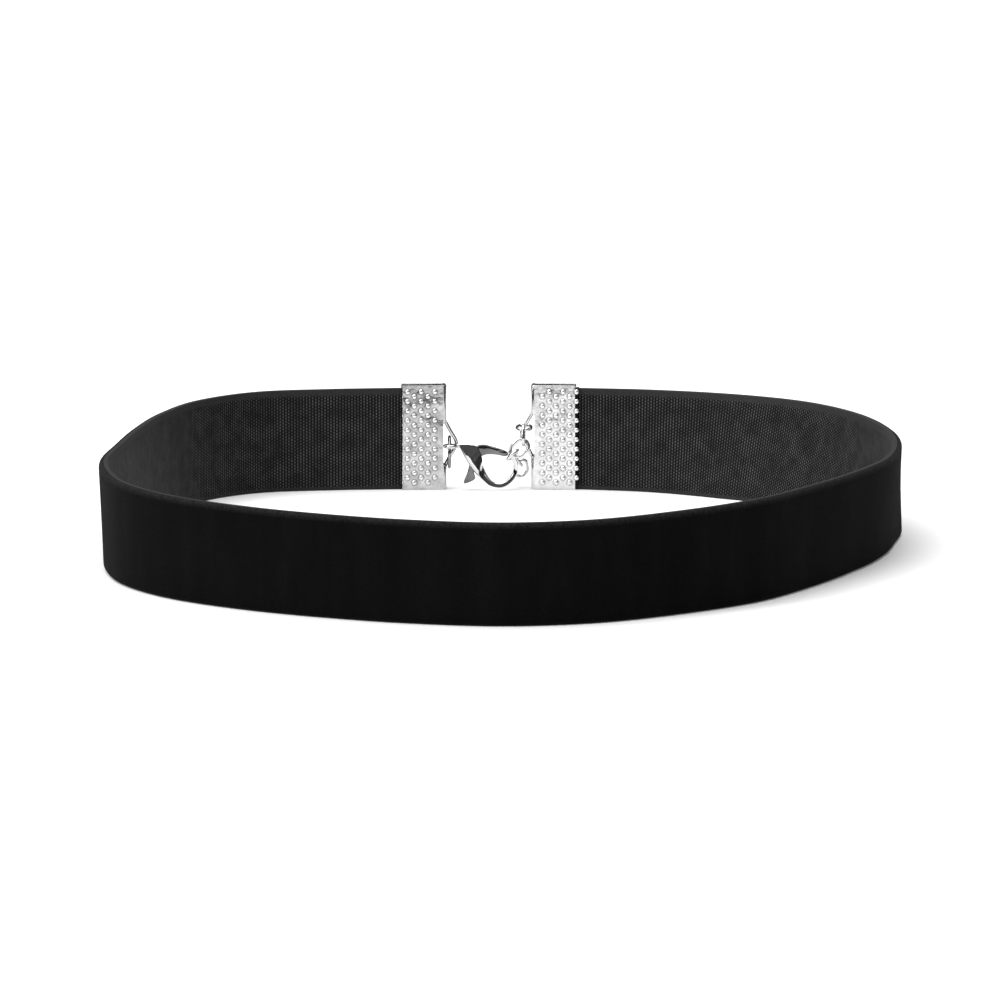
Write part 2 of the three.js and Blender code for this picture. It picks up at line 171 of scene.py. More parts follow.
# Middles of the jump ring and of the closure, in mm
ring_low, ring_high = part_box("jump_ring")
RING_MIDDLE = (ring_low + ring_high) / (2 * MM)
CLOSURE = RING_MIDDLE - Vector((RING_STANDOFF - CLOSURE_GAP / 2, 0, LEFT_RISE - RING_DROP))


# Materials
class Shader:
    """A material's node tree, with short calls for its nodes."""

    def __init__(self, name):
        self.material = bpy.data.materials.new(name)
        self.material.use_nodes = True
        self.tree = self.material.node_tree
        self.shader = self.tree.nodes["Principled BSDF"]

    def node(self, kind, **settings):
        made = self.tree.nodes.new(kind)
        for key, value in settings.items():
            setattr(made, key, value)
        return made

    def feed(self, socket, value):
        if isinstance(value, bpy.types.NodeSocket):
            self.tree.links.new(value, socket)
        else:
            socket.default_value = value

    def math(self, operation, *values):
        made = self.node("ShaderNodeMath", operation=operation)
        for socket, value in zip(made.inputs, values):
            self.feed(socket, value)
        return made.outputs[0]

    def wave(self, cycles):
        """1 at each whole cycle and 0 halfway between."""
        swing = self.math("COSINE", self.math("MULTIPLY", cycles, 2 * math.pi))
        return self.math("ADD", self.math("MULTIPLY", swing, 0.5), 0.5)

    def noise(self, vector, scale, detail=2.0, roughness=0.5):
        made = self.node("ShaderNodeTexNoise")
        self.feed(made.inputs["Vector"], vector)
        made.inputs["Scale"].default_value = scale
        made.inputs["Detail"].default_value = detail
        made.inputs["Roughness"].default_value = roughness
        return made.outputs["Fac"]

    def ramp(self, factor, *stops):
        made = self.node("ShaderNodeValToRGB")
        self.feed(made.inputs["Fac"], factor)
        elements = made.color_ramp.elements
        while len(elements) < len(stops):
            elements.new(0.5)
        for element, (place, colour) in zip(elements, stops):
            element.position = place
            element.color = (*colour, 1.0)
        return made.outputs["Color"]

    def spread(self, value, low, high, to_low, to_high):
        made = self.node("ShaderNodeMapRange", clamp=True)
        for socket, given in zip(made.inputs, (value, low, high, to_low, to_high)):
            self.feed(socket, given)
        return made.outputs["Result"]

    def mix(self, factor, first, second):
        made = self.node("ShaderNodeMix", data_type="RGBA")
        self.feed(made.inputs["Factor"], factor)
        self.feed(made.inputs[6], first)
        self.feed(made.inputs[7], second)
        return made.outputs[2]

    def bump(self, height, strength, distance, under=None):
        made = self.node("ShaderNodeBump")
        made.inputs["Strength"].default_value = strength
        made.inputs["Distance"].default_value = distance
        self.feed(made.inputs["Height"], height)
        if under is not None:
            self.feed(made.inputs["Normal"], under)
        return made.outputs["Normal"]

    def map_place(self, name, across_span, up_span):
        """The two places in mm that a map of the piece holds."""
        place = self.node("ShaderNodeUVMap", uv_map=name).outputs["UV"]
        split = self.node("ShaderNodeSeparateXYZ")
        self.feed(split.inputs[0], place)
        return (self.math("MULTIPLY", split.outputs["X"], across_span),
                self.math("MULTIPLY", split.outputs["Y"], up_span))

    def object_point(self):
        return self.node("ShaderNodeTexCoord").outputs["Object"]

    def set(self, **values):
        for key, value in values.items():
            self.feed(self.shader.inputs[key.replace("_", " ")], value)
        return self.material


def grey(value):
    return (value, value, value)


def edge_bands(s, across, top, low, low_share):
    """Bands along the ribbon's two edges, each given by where it starts and is whole, in mm from its edge."""
    top_band = s.spread(across, RIBBON_WIDTH - top[0], RIBBON_WIDTH - top[1], 0.0, 1.0)
    low_band = s.spread(across, low[1], low[0], low_share, 0.0)
    return s.math("MAXIMUM", top_band, low_band)


def velvet_material():
    """Short pile with a nap along the ribbon, and painted sheen: lighter colour along both edges, most at the
    top.
    """
    s = Shader("black_velvet_pile")
    point = s.object_point()
    along, across = s.map_place("ribbon_mm", ALONG_SPAN, ACROSS_SPAN)
    stretched = s.node("ShaderNodeCombineXYZ")
    s.feed(stretched.inputs[0], along)
    s.feed(stretched.inputs[1], s.math("MULTIPLY", across, 0.25))
    nap = s.noise(stretched.outputs[0], 0.35, 3.0, 0.55)
    pile = s.noise(point, 9000.0, 2.0, 0.6)
    tufts = s.noise(point, 3200.0, 2.0, 0.5)
    shade = s.ramp(s.math("ADD", s.math("MULTIPLY", nap, 0.5), s.math("MULTIPLY", pile, 0.5)),
                   (0.25, (0.0026, 0.0026, 0.0028)), (0.55, (0.0046, 0.0046, 0.0049)),
                   (0.8, (0.0085, 0.0085, 0.009)))
    # Painted sheen: lighter colour along the two edges where the rounded pile catches the light, broken up by
    # the tufts.
    bands = edge_bands(s, across, top=(0.65, 0.05), low=(0.3, 0.05), low_share=0.8)
    painted_edge_sheen = s.math("MULTIPLY", bands, s.spread(tufts, 0.3, 0.7, 0.25, 1.0))
    height = s.math("ADD", s.math("MULTIPLY", pile, 0.6), s.math("MULTIPLY", tufts, 0.6))
    return s.set(Base_Color=s.mix(painted_edge_sheen, shade, (0.024, 0.024, 0.025, 1.0)), Roughness=1.0,
                 Sheen_Weight=0.03, Sheen_Roughness=0.3, Sheen_Tint=(0.8, 0.8, 0.83, 1.0),
                 Specular_IOR_Level=0.03, Normal=s.bump(height, 0.7, 0.1 * MM))


def woven_material():
    """Plain woven back: ribs across the ribbon, the crossings of their threads, and two smooth selvedges."""
    s = Shader("black_woven_back")
    along, across = s.map_place("ribbon_mm", ALONG_SPAN, ACROSS_SPAN)
    rib_place = s.math("DIVIDE", along, RIB_PITCH)
    rib_number = s.math("FLOOR", s.math("ADD", rib_place, 0.5))
    crossing_place = s.math("DIVIDE", across, CROSSING_PITCH)
    crossing = s.wave(s.math("ADD", crossing_place, s.math("MULTIPLY", rib_number, 0.5)))
    threads = s.math("MULTIPLY", s.wave(rib_place), s.spread(crossing, 0.0, 1.0, 0.45, 1.0))
    point = s.object_point()
    uneven = s.noise(point, 700.0, 3.0, 0.6)
    fibre = s.noise(point, 7000.0, 2.0, 0.5)
    selvedge = edge_bands(s, across, top=(0.75, 0.5), low=(0.45, 0.3), low_share=1.0)
    field = s.math("MULTIPLY", threads, s.spread(uneven, 0.3, 0.7, 0.65, 1.1))
    woven = s.ramp(field, (0.15, grey(0.002)), (0.42, grey(0.01)), (0.65, grey(0.055)), (1.0, grey(0.11)))
    plain = s.ramp(fibre, (0.3, grey(0.018)), (0.7, grey(0.032)))
    relief = s.math("ADD", s.math("MULTIPLY", field, s.math("SUBTRACT", 1.0, selvedge)),
                    s.math("MULTIPLY", fibre, 0.2))
    return s.set(Base_Color=s.mix(selvedge, woven, plain), Roughness=0.7, Sheen_Weight=0.012,
                 Sheen_Roughness=0.4, Sheen_Tint=(0.9, 0.9, 0.92, 1.0), Specular_IOR_Level=0.16,
                 Normal=s.bump(relief, 0.9, 0.05 * MM))


def clamp_dots(s, columns):
    """How far a place is a raised dot of the clamp, and how far it is in the hollow ring round one: the masks
    for the painted highlight on the dots and the painted shade round them.
    """
    across, down = s.map_place("clamp_mm", CLAMP_SPAN, CLAMP_SPAN)
    nearest = []
    for odd, shift in enumerate((0.0, 0.5)):
        parts = []
        for value, pitch in ((across, 2 * COLUMN_PITCH), (down, ROW_PITCH)):
            share = s.math("SUBTRACT", s.math("DIVIDE", value, pitch), shift)
            parts.append(s.math("MULTIPLY", s.math("SUBTRACT", share, s.math("ROUND", share)), pitch))
        distance = s.math("SQRT", s.math("ADD", *[s.math("MULTIPLY", part, part) for part in parts]))
        last_column = columns - 1 if (columns - 1) % 2 == odd else columns - 2
        for past in (s.math("SUBTRACT", shift * ROW_PITCH, down),
                     s.math("SUBTRACT", down, (ROW_COUNT - 1 + shift) * ROW_PITCH),
                     s.math("SUBTRACT", across, last_column * COLUMN_PITCH)):
            distance = s.math("MAXIMUM", distance, past)
        nearest.append(distance)
    distance = s.math("MINIMUM", *nearest)
    dot = s.spread(distance, 0.8 * DOT_RADIUS, DOT_RADIUS, 1.0, 0.0)
    # Painted shade: the hollow ring round each dot, darkened where shade falls beside the raised dot.
    painted_crease_shade = s.spread(distance, DOT_RADIUS, 1.5 * DOT_RADIUS, 1.0, 0.0)
    return dot, s.math("SUBTRACT", painted_crease_shade, dot)


def metal_material(name, dull, bright, smooth, worn, grain, dents=0.0, columns=0):
    """Plated metal: an uneven skin with duller and rougher patches. A clamp, which has columns of dots, also
    has broad dents, given in mm, a painted highlight on its dots and painted shade in the hollow rings round
    them."""
    s = Shader(name)
    point = s.object_point()
    patches = s.noise(point, 900.0, 3.0, 0.55)
    skin = s.noise(point, 2600.0, 2.0, 0.5)
    normal = s.bump(skin, grain, 0.03 * MM)
    colour = s.ramp(patches, (0.35, grey(dull)), (0.65, grey(bright)))
    roughness = s.spread(skin, 0.35, 0.7, smooth, worn)
    if columns:
        normal = s.bump(s.noise(point, 650.0, 1.5, 0.5), 1.0, dents * MM, normal)
        dot, painted_crease_shade = clamp_dots(s, columns)
        # Painted shade: dark rings round the dots. Painted highlight: near-white colour on the dots
        # themselves.
        colour = s.mix(s.math("MULTIPLY", painted_crease_shade, 0.5), colour, (*grey(0.09), 1.0))
        colour = s.mix(dot, colour, (*grey(0.93), 1.0))
        roughness = s.math("ADD", roughness, s.math("MULTIPLY", dot, 0.22))
    return s.set(Base_Color=colour, Metallic=1.0, Roughness=roughness, Normal=normal)


# Mesh helpers
def make_object(name, points, faces, materials, face_material=None):
    mesh = bpy.data.meshes.new(name)
    mesh.from_pydata([tuple(p) for p in points], [], faces)
    for material in materials:
        mesh.materials.append(material)
    if face_material is not None:
        mesh.polygons.foreach_set("material_index", face_material)
    mesh.polygons.foreach_set("use_smooth", [True] * len(mesh.polygons))
    mesh.validate()
    mesh.update()
    made = bpy.data.objects.new(name, mesh)
    bpy.context.scene.collection.objects.link(made)
    return made


def make_solid(*given):
    """A closed piece, with its faces turned outward."""
    made = make_object(*given)
    work = bmesh.new()
    work.from_mesh(made.data)
    bmesh.ops.recalc_face_normals(work, faces=work.faces)
    work.to_mesh(made.data)
    work.free()
    return made


def smooth_line(points, steps, closed=False):
    """A smooth curve through the points."""
    points = [Vector(p) for p in points]
    count = len(points)
    line = []
    for index in range(count if closed else count - 1):
        if closed:
            near = [(index + k) % count for k in (-1, 0, 1, 2)]
        else:
            near = [min(max(index + k, 0), count - 1) for k in (-1, 0, 1, 2)]
        a, b, c, d = (points[k] for k in near)
        for step in range(steps):
            t = step / steps
            line.append(0.5 * (2 * b + (c - a) * t + (2 * a - 5 * b + 4 * c - d) * t ** 2
                               + (3 * b - a - 3 * c + d) * t ** 3))
    if not closed:
        line.append(points[-1])
    return line


def circle(count, shift=0.0):
    """Cosine and sine of each step round a circle."""
    turns = [2 * math.pi * (step + shift) / count for step in range(count)]
    return [(math.cos(turn), math.sin(turn)) for turn in turns]


def quarter(steps):
    """Turns of a quarter circle."""
    return [math.pi / 2 * step / steps for step in range(steps + 1)]


def sweep_faces(rings, around, closed):
    """Faces between rings of points, with both ends capped unless the sweep is closed."""
    faces = []
    for ring in range(rings if closed else rings - 1):
        here, there = ring * around, (ring + 1) % rings * around
        for side in range(around):
            following = (side + 1) % around
            faces.append((here + side, there + side, there + following, here + following))
    if not closed:
        faces.append(tuple(range(around)))
        faces.append(tuple((rings - 1) * around + side for side in reversed(range(around))))
    return faces


def join(parts):
    points, faces = [], []
    for part_points, part_faces in parts:
        base = len(points)
        points += part_points
        faces += [tuple(base + index for index in face) for face in part_faces]
    return points, faces


def taken_out(obj):
    """A piece's points and faces, with the piece itself removed."""
    part = [tuple(v.co) for v in obj.data.vertices], [tuple(p.vertices) for p in obj.data.polygons]
    bpy.data.objects.remove(obj)
    return part


def apply_modifiers(obj):
    layer = bpy.context.evaluated_depsgraph_get()
    shaped = bpy.data.meshes.new_from_object(obj.evaluated_get(layer))
    obj.modifiers.clear()
    obj.data = shaped


def cut_box(obj, low, high):
    """Cuts the box between two corners out of a piece."""
    points = [(x, y, z) for x in (low[0], high[0]) for y in (low[1], high[1]) for z in (low[2], high[2])]
    faces = [(0, 1, 3, 2), (4, 6, 7, 5), (0, 4, 5, 1), (2, 3, 7, 6), (0, 2, 6, 4), (1, 5, 7, 3)]
    box = make_solid("cut", points, faces, [])
    modifier = obj.modifiers.new("cut", "BOOLEAN")
    modifier.object = box
    modifier.operation = "DIFFERENCE"
    modifier.solver = "EXACT"
    apply_modifiers(obj)
    bpy.data.objects.remove(box)


def bevel_edges(obj, width, angle):
    modifier = obj.modifiers.new("edges", "BEVEL")
    modifier.width = width
    modifier.segments = 2
    modifier.limit_method = "ANGLE"
    modifier.angle_limit = math.radians(angle)
    apply_modifiers(obj)


def shade_flat_faces(obj, angle):
    """Smooth shading that bends only at the narrow faces of an edge, so that broad faces reflect evenly."""
    obj.data.set_sharp_from_angle(angle=math.radians(angle))
    modifier = obj.modifiers.new("normals", "WEIGHTED_NORMAL")
    modifier.keep_sharp = True
    modifier.weight = 100
    apply_modifiers(obj)


def finish_piece(obj, body, slot, *nodes):
    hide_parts(*nodes)
    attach(obj, body)


def scaled_to(place):
    """A place given in mm, as a matrix from mm to metres."""
    return Matrix.Diagonal((MM, MM, MM, 1)) @ place


# Ribbon
def ribbon_stations():
    """Top centre, outward direction and lean of each station of the ribbon's solid, from left to right."""
    vertices = {tuple(round(c, 7) for c in v.co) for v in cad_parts["velvet_ribbon"].data.vertices}
    middle = RIBBON_WIDTH * MM / 2

    def by_turn(points):
        return sorted(points, key=lambda p: math.atan2(p[0], -p[1]))

    def from_inside(pair):
        return [Vector(p) for p in sorted(pair, key=lambda p: math.hypot(p[0], p[1]))]

    top = by_turn([p for p in vertices if p[2] > middle])
    low = by_turn([p for p in vertices if p[2] <= middle])
    stations = []
    for index in range(0, len(top), 2):
        inner, outer = from_inside(top[index:index + 2])
        low_inner, low_outer = from_inside(low[index:index + 2])
        out = (outer - inner).normalized()
        centre = (inner + outer) / 2
        lean = (centre - (low_inner + low_outer) / 2).dot(out)
        stations.append((centre, out, lean))
    return stations


def evened(values):
    """Takes the corners out of a row of values, with both ends kept."""
    inside = [(before + 2 * value + after) / 4
              for before, value, after in zip(values, values[1:], values[2:])]
    return [values[0], *inside, values[-1]]


def ribbon_section():
    """Ring round the ribbon, in mm: offset outward from its middle, height, and whether it is pile."""
    back, front = -RIBBON_THICKNESS / 2, RIBBON_THICKNESS / 2
    corner = [(front - PILE_ROUND * (1 - math.cos(turn)), PILE_ROUND * (1 - math.sin(turn)) + 0.015)
              for turn in quarter(EDGE_STEPS)]
    ring = [(back + 0.02, float(height), False) for height in np.linspace(0.1, RIBBON_WIDTH - 0.1, 8)]
    ring += [(back + 0.05, RIBBON_WIDTH - 0.03, False), (back + 0.16, RIBBON_WIDTH, False)]
    ring += [(offset, RIBBON_WIDTH - height, True) for offset, height in reversed(corner)]
    ring += [(front, float(height), True) for height in np.linspace(RIBBON_WIDTH - 1.1, 1.1, 5)]
    ring += [(offset, height, True) for offset, height in corner]
    ring += [(back + 0.16, 0.0, False), (back + 0.05, 0.03, False)]
    return ring


def make_ribbon(velvet, woven):
    centres, outs, leans = zip(*ribbon_stations())
    centres = smooth_line(centres, CURVE_STEPS)
    outs = smooth_line(outs, CURVE_STEPS)
    leans = smooth_line([(lean, 0, 0) for lean in evened(leans)], CURVE_STEPS)
    ring = ribbon_section()
    around = len(ring)
    along = [0.0]
    for before, after in zip(centres, centres[1:]):
        along.append(along[-1] + (after - before).length / MM)
    points = []
    for centre, out, lean in zip(centres, outs, leans):
        level_out = Vector((out.x, out.y, 0)).normalized()
        for offset, height, _ in ring:
            down = 1 - height / RIBBON_WIDTH
            shift = offset * MM - lean.x * down
            points.append(centre + level_out * shift - Vector((0, 0, down * centre.z)))
    faces = sweep_faces(len(centres), around, False)
    pile = [ring[side][2] and ring[(side + 1) % around][2] for side in range(around)]
    kinds = [0 if pile[index % around] else 1 for index in range(len(faces) - 2)] + [1, 1]
    ribbon = make_solid("velvet_ribbon_cloth", points, faces, [velvet, woven], kinds)
    uv = ribbon.data.uv_layers.new(name="ribbon_mm")
    for loop in ribbon.data.loops:
        station, side = divmod(loop.vertex_index, around)
        uv.data[loop.index].uv = (along[station] / ALONG_SPAN, ring[side][1] / ACROSS_SPAN)
    finish_piece(ribbon, "choker", "velvet", "velvet_ribbon")


# Clamps: each is built from its mouth at 0 to its fold at CLAMP_LENGTH, in mm, and then placed
def folded_sheet():
    """The clamp's folded sheet: its outline in plan, swept up."""
    half = CLAMP_THICKNESS / 2
    inner = half - CLAMP_SHEET
    fold = CLAMP_LENGTH - CLAMP_SHEET
    outline = [(0.0, -half)]
    for side, start in ((-1, -math.pi / 2), (1, 0.0)):
        for turn in quarter(FOLD_STEPS):
            outline.append((fold + CLAMP_SHEET * math.cos(start + turn),
                            side * inner + CLAMP_SHEET * math.sin(start + turn)))
    outline += [(0.0, half), (0.0, inner), (fold, inner), (fold, -inner), (0.0, -inner)]
    points = [(x, y, z) for z in (0.0, CLAMP_HEIGHT) for x, y in outline]
    return points, sweep_faces(2, len(outline), False)


def dome(along, height, face):
    """A raised dot on one face: a low dome that starts inside the sheet."""
    surface = CLAMP_THICKNESS / 2
    profile = [(DOT_RADIUS, -CLAMP_SHEET / 2)]
    profile += [(DOT_RADIUS * math.cos(turn), DOT_HEIGHT * math.sin(turn))
                for turn in quarter(DOT_RINGS)[:-1]]
    points = [(along + radius * out, face * (surface + rise), height + radius * up)
              for radius, rise in profile for out, up in circle(DOT_SIDES)]
    top = len(points)
    points.append((along, face * (surface + DOT_HEIGHT), height))
    faces = [tuple(reversed(range(DOT_SIDES)))]
    for ring in range(len(profile) - 1):
        for side in range(DOT_SIDES):
            a, b = ring * DOT_SIDES + side, ring * DOT_SIDES + (side + 1) % DOT_SIDES
            faces.append((a, b, b + DOT_SIDES, a + DOT_SIDES))
    last_ring = top - DOT_SIDES
    faces += [(last_ring + side, last_ring + (side + 1) % DOT_SIDES, top) for side in range(DOT_SIDES)]
    return points, faces


def dot_parts(first_column, column_count):
    parts = []
    for column in range(column_count):
        for row in range(ROW_COUNT):
            height = CLAMP_HEIGHT - ROW_PITCH * (FIRST_ROW + row) - (column % 2) * ROW_PITCH / 2
            if height >= DOT_RADIUS:
                parts += [dome(first_column + column * COLUMN_PITCH, height, face) for face in (-1, 1)]
    return parts


def arch_strip(rise):
    """The arch: a strip with rounded edges, bowed out of the fold."""
    reach = ARCH_REACH + CLAMP_SHEET / 2 - ARCH_STRIP / 2
    middle = smooth_line([(CLAMP_LENGTH - CLAMP_SHEET / 2 + out * reach, 0, CLAMP_HEIGHT / 2 + rise
                           + up * ARCH_HEIGHT / 2) for out, up in ARCH_BOW], 5)
    section = [tuple(math.copysign(math.sqrt(abs(share)), share) * size / 2
                     for share, size in zip(spot, (ARCH_STRIP, ARCH_DEPTH))) for spot in circle(16, 0.5)]
    points = []
    for index, point in enumerate(middle):
        run = (middle[min(index + 1, len(middle) - 1)] - middle[max(index - 1, 0)]).normalized()
        across = Vector((run.z, 0, -run.x))
        points += [tuple(point + across * wide + Vector((0, deep, 0))) for wide, deep in section]
    return points, sweep_faces(len(middle), len(section), False)


def clamp_place(side):
    heading = Vector((-side * math.cos(CLAMP_TURN), math.sin(CLAMP_TURN), 0))
    mouth = CLOSURE + Vector((side * CLOSURE_GAP / 2, 0, -CLAMP_HEIGHT / 2)) - heading * CLAMP_LENGTH
    turn = math.pi - CLAMP_TURN if side > 0 else CLAMP_TURN
    return scaled_to(Matrix.Translation(mouth) @ Matrix.Rotation(turn, 4, "Z"))


def make_clamp(name, side, rise, first_column, column_count, material):
    """The left clamp is at side -1 and the right one at side 1."""
    sheet = make_solid(name + "_sheet", *folded_sheet(), [material])
    slot_middle = CLAMP_HEIGHT / 2 + rise
    slot_half = ARCH_HEIGHT * SLOT_SHARE / 2
    slot_near = CLAMP_LENGTH - SLOT_INSET
    cut_box(sheet, (slot_near, -CLAMP_THICKNESS, slot_middle - slot_half),
            (slot_near + 1, CLAMP_THICKNESS, slot_middle + slot_half))
    bevel_edges(sheet, CLAMP_EDGE, 40)
    parts = [taken_out(sheet), arch_strip(rise), *dot_parts(first_column, column_count)]
    clamp = make_solid(name + "_sheet", *join(parts), [material])
    uv = clamp.data.uv_layers.new(name="clamp_mm")
    for loop in clamp.data.loops:
        spot = clamp.data.vertices[loop.vertex_index].co
        uv.data[loop.index].uv = ((spot.x - first_column) / CLAMP_SPAN,
                                  (CLAMP_HEIGHT - spot.z - ROW_PITCH * FIRST_ROW) / CLAMP_SPAN)
    clamp.data.transform(clamp_place(side))
    shade_flat_faces(clamp, 50)
    finish_piece(clamp, "choker", "silver", name)


# Rings and links
def wire_loop(half_length, half_width, radius, steps):
    """An oval of wire: two half circles joined by straight runs."""
    points = []
    straight = max(0.0, half_length - half_width)
    for out in (Vector((c, s, 0)) for c, s in circle(steps, 0.5)):
        centre = out * min(half_length, half_width)
        centre.x += math.copysign(straight, out.x)
        for wide, high in circle(WIRE_SIDES):
            spot = centre + out * (radius * wide)
            points.append((spot.x, spot.y, radius * high))
    return points, sweep_faces(steps, WIRE_SIDES, True)


def node_axes(node):
    """Middle of a node's points and its own axes, longest first, in mm."""
    points = np.array([tuple(v.co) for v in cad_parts[node].data.vertices]) / MM
    points = np.unique(points.round(5), axis=0)
    middle = points.mean(0)
    values, axes = np.linalg.eigh(np.cov((points - middle).T))
    axes = axes[:, np.argsort(-values)]
    if np.linalg.det(axes) < 0:
        axes[:, 2] *= -1
    return Matrix.Translation(Vector(middle)) @ Matrix(axes.tolist()).to_4x4()


def make_link(node, material):
    half_length, half_width = (LINK_LENGTH - LINK_WIRE) / 2, (LINK_WIDTH - LINK_WIRE) / 2
    link = make_solid(node + "_wire", *wire_loop(half_length, half_width, LINK_WIRE / 2, 48), [material])
    link.data.transform(scaled_to(node_axes(node)))
    finish_piece(link, "choker", "silver", node)


def make_ring(material):
    radius = (RING_DIAMETER - RING_WIRE) / 2
    ring = make_solid("jump_ring_wire", *wire_loop(radius, radius, RING_WIRE / 2, 64), [material])
    turned = Matrix.Rotation(math.pi / 2, 4, "Y")
    ring.data.transform(scaled_to(Matrix.Translation(RING_MIDDLE) @ turned))
    finish_piece(ring, "choker", "silver", "jump_ring")


# Clasp: its eye is at 0, and its profile starts at the end of the neck
def clasp_place():
    radius = (RING_DIAMETER - RING_WIRE) / 2
    eye = Vector((EYE_PLAY, -radius * math.cos(EYE_TURN), radius * math.sin(EYE_TURN)))
    return scaled_to(Matrix.Translation(RING_MIDDLE + eye))


def profile_place():
    neck_end = Matrix.Translation((EYE_RADIUS + NECK_LENGTH, 0, NECK_RISE))
    return neck_end @ Matrix.Rotation(-CLASP_TILT, 4, "Y")


def closed_section(half):
    """The section's front half mirrored to the back and smoothed."""
    back = [(wide, -high) for wide, high in half[-2:0:-1]]
    return smooth_line([(wide, high, 0) for wide, high in half + back], 2, closed=True)


def claw():
    """The clasp's body and hook: one bar between the outer and inner edges, with a changing section."""
    outer = smooth_line([Vector((pair[0], 0, pair[1])) * CLASP_LENGTH for pair in CLAW_PAIRS], 7)
    inner = smooth_line([Vector((pair[2], 0, pair[3])) * CLASP_LENGTH for pair in CLAW_PAIRS], 7)
    body_section, hook_section = closed_section(BODY_SECTION), closed_section(HOOK_SECTION)
    points = []
    for start, end in zip(outer, inner):
        centre, across = (start + end) / 2, (end - start) / 2
        along = centre.x / CLASP_LENGTH
        blend = min(max((along - HOOK_START) / (HOOK_END - HOOK_START), 0.0), 1.0)
        blend = blend * blend * (3 - 2 * blend)
        entry = min(max((along + 0.02) / 0.2, 0.0), 1.0)
        deep = (CLASP_DEPTH * (1 - blend) + HOOK_DEPTH * blend) / 2
        deep *= 0.45 + 0.55 * math.sin(entry * math.pi / 2)
        for body_spot, hook_spot in zip(body_section, hook_section):
            spot = body_spot.lerp(hook_spot, blend)
            points.append(centre + across * spot.x - Vector((0, deep * spot.y, 0)))
    return points, sweep_faces(len(outer), len(body_section), False)


def neck():
    """The short rod from the eye to the claw, a little thicker at the claw."""
    line = smooth_line([(EYE_RADIUS + t * (NECK_LENGTH + NECK_WIRE), 0, NECK_RISE * min(1, 1.2 * t))
                        for t in (0, 0.35, 0.7, 1.0)], 4)
    points = []
    for index, point in enumerate(line):
        radius = NECK_WIRE / 2 * (0.8 + 0.25 * index / len(line))
        points += [(point.x, point.y + radius * wide, point.z + radius * high)
                   for wide, high in circle(WIRE_SIDES)]
    return points, sweep_faces(len(line), WIRE_SIDES, False)


def make_clasp_body(material):
    body = make_solid("clasp_body_cast", *claw(), [material])
    cut_box(body, (SLOT_START * CLASP_LENGTH, -SLOT_DEPTH / 2, -SLOT_REACH * CLASP_LENGTH),
            ((SLOT_START + SLOT_LENGTH) * CLASP_LENGTH, SLOT_DEPTH / 2, SLOT_REACH * CLASP_LENGTH))
    body.data.transform(profile_place())
    parts = [taken_out(body), wire_loop(EYE_RADIUS, EYE_RADIUS, EYE_WIRE / 2, 40), neck()]
    clasp = make_solid("clasp_body_cast", *join(parts), [material])
    clasp.data.transform(clasp_place())
    clasp.data.set_sharp_from_angle(angle=math.radians(38))
    finish_piece(clasp, "choker", "dark_steel", "clasp_body")


def lever_plate(outline):
    """A smooth outline given the lever's depth, with a rounded rim."""
    line = smooth_line([Vector((x, 0, z)) * CLASP_LENGTH for x, z in outline], 6, closed=True)
    middle = sum(line, Vector()) / len(line)
    points = []
    for share, deep in PLATE_RIM:
        for point in line:
            inward = middle - point
            inset = point + inward.normalized() * min((1 - share) * LEVER_ROUND, inward.length * 0.5)
            if share == 0.0:
                inset = middle - inward * 0.4
            points.append(inset + Vector((0, LEVER_DEPTH * deep, 0)))
    return points, sweep_faces(len(PLATE_RIM), len(line), False)


def make_lever(material):
    parts = join([lever_plate(LEVER_ARM), lever_plate(LEVER_TAB)])
    lever = make_solid("clasp_lever_plate", *parts, [material])
    lever.data.transform(clasp_place() @ profile_place())
    shade_flat_faces(lever, 60)
    finish_piece(lever, "lever", "dark_steel", "clasp_lever")


def make_pin(material):
    """The pin lies across the clasp, and its chamfered ends are under the rounded cheeks."""
    low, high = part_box("clasp_pin")
    centre = (low + high) / 2
    radius = (high.x - low.x) / 2
    half = (high.y - low.y) / 2 - PIN_INSET * MM
    rings = [(0.9, -1.0), (1.0, -0.93), (1.0, 0.93), (0.9, 1.0)]
    points = [centre + Vector((radius * share * wide, half * place, radius * share * up))
              for share, place in rings for wide, up in circle(20)]
    pin = make_solid("clasp_pin_rod", points, sweep_faces(len(rings), 20, False), [material])
    shade_flat_faces(pin, 40)
    finish_piece(pin, "choker", "dark_steel", "clasp_pin")


# Surroundings
def make_floor():
    s = Shader("pale_floor")
    material = s.set(Base_Color=(0.93, 0.93, 0.93, 1.0), Roughness=0.9, Specular_IOR_Level=0.1,
                     Emission_Color=(1.0, 1.0, 1.0, 1.0), Emission_Strength=0.1)
    corners = [(-1, -1), (1, -1), (1, 1), (-1, 1)]
    points = [(x * FLOOR_HALF, y * FLOOR_HALF, 0) for x, y in corners]
    make_object("floor", points, [(0, 1, 2, 3)], [material])


def make_light(name, place, aim, width, height, watts):
    data = bpy.data.lights.new(name, "AREA")
    data.shape = "RECTANGLE"
    data.size = width
    data.size_y = height
    data.energy = watts
    light = bpy.data.objects.new(name, data)
    light.location = place
    light.rotation_euler = (Vector(aim) - Vector(place)).to_track_quat("-Z", "Y").to_euler()
    bpy.context.scene.collection.objects.link(light)


def make_world():
    world = bpy.data.worlds.new("studio")
    bpy.context.scene.world = world
    world.use_nodes = True
    background = world.node_tree.nodes["Background"]
    background.inputs["Color"].default_value = (1.0, 1.0, 1.0, 1.0)
    background.inputs["Strength"].default_value = 0.1


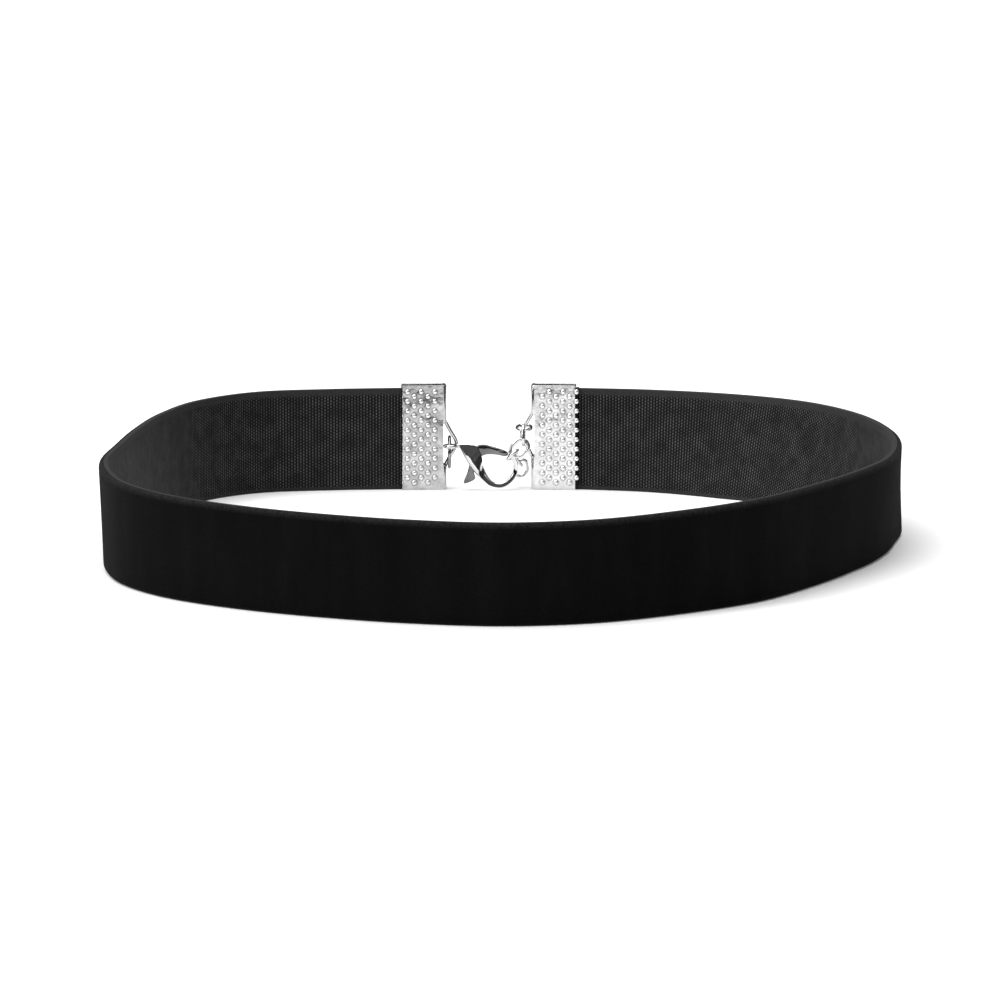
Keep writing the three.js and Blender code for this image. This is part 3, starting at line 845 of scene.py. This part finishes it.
def make_camera():
    data = bpy.data.cameras.new("camera")
    data.lens = CAMERA_LENS
    data.sensor_width = CAMERA_SENSOR
    data.clip_start = 0.1
    data.clip_end = 20.0
    camera = bpy.data.objects.new("camera", data)
    bpy.context.scene.collection.objects.link(camera)
    look = Vector((0, math.cos(CAMERA_DOWN), -math.sin(CAMERA_DOWN)))
    camera.location = Vector(CAMERA_AIM) * MM - look * CAMERA_AWAY
    camera.rotation_euler = look.to_track_quat("-Z", "Y").to_euler()
    bpy.context.scene.camera = camera


velvet = velvet_material()
woven = woven_material()
# Painted shade: the left clamp's plating is a darker copy of the right clamp's.
left_silver_painted_shade = metal_material("plating_painted_shade", dull=0.38, bright=0.58, smooth=0.12, worn=0.24, grain=0.25,
                             dents=0.08, columns=LEFT_COLUMN_COUNT)
right_silver = metal_material("bright_plating", dull=0.6, bright=0.74, smooth=0.1, worn=0.22, grain=0.2,
                              dents=0.05, columns=RIGHT_COLUMN_COUNT)
chain_silver = metal_material("chain_plating", dull=0.6, bright=0.74, smooth=0.08, worn=0.18, grain=0.15)
# Painted dark reflection: the jump ring's plating is far darker than the chain's.
ring_silver_painted_dark = metal_material("ring_metal_painted_dark", dull=0.2, bright=0.3, smooth=0.08, worn=0.18, grain=0.15)
clasp_steel = metal_material("clasp_plating", dull=0.58, bright=0.66, smooth=0.05, worn=0.1, grain=0.1)
# Painted dark reflection: the lever's plating is far darker than the clasp body's.
lever_steel_painted_dark = metal_material("lever_metal_painted_dark", dull=0.13, bright=0.18, smooth=0.1, worn=0.16, grain=0.1)

make_camera()
make_clamp("left_ribbon_clamp", -1, LEFT_RISE, LEFT_FIRST_COLUMN, LEFT_COLUMN_COUNT, left_silver_painted_shade)
make_clamp("right_ribbon_clamp", 1, RIGHT_RISE, RIGHT_FIRST_COLUMN, RIGHT_COLUMN_COUNT, right_silver)
make_ribbon(velvet, woven)
make_ring(ring_silver_painted_dark)
for number in range(1, LINK_COUNT + 1):
    make_link(f"chain_link_{number}", chain_silver)
make_clasp_body(clasp_steel)
make_lever(lever_steel_painted_dark)
make_pin(clasp_steel)

make_floor()
make_world()
make_light("top_softbox", place=(-0.2, 0.15, 1.3), aim=(0, 0.15, 0), width=2.0, height=1.6, watts=34)
make_light("left_strip", place=(-1.1, -0.8, 0.75), aim=(0, 0, 0), width=0.3, height=1.1, watts=8)
make_light("right_strip", place=(1.2, -0.5, 0.6), aim=(0, 0, 0), width=0.25, height=1.0, watts=0.5)
bpy.context.scene.view_settings.view_transform = "Standard"
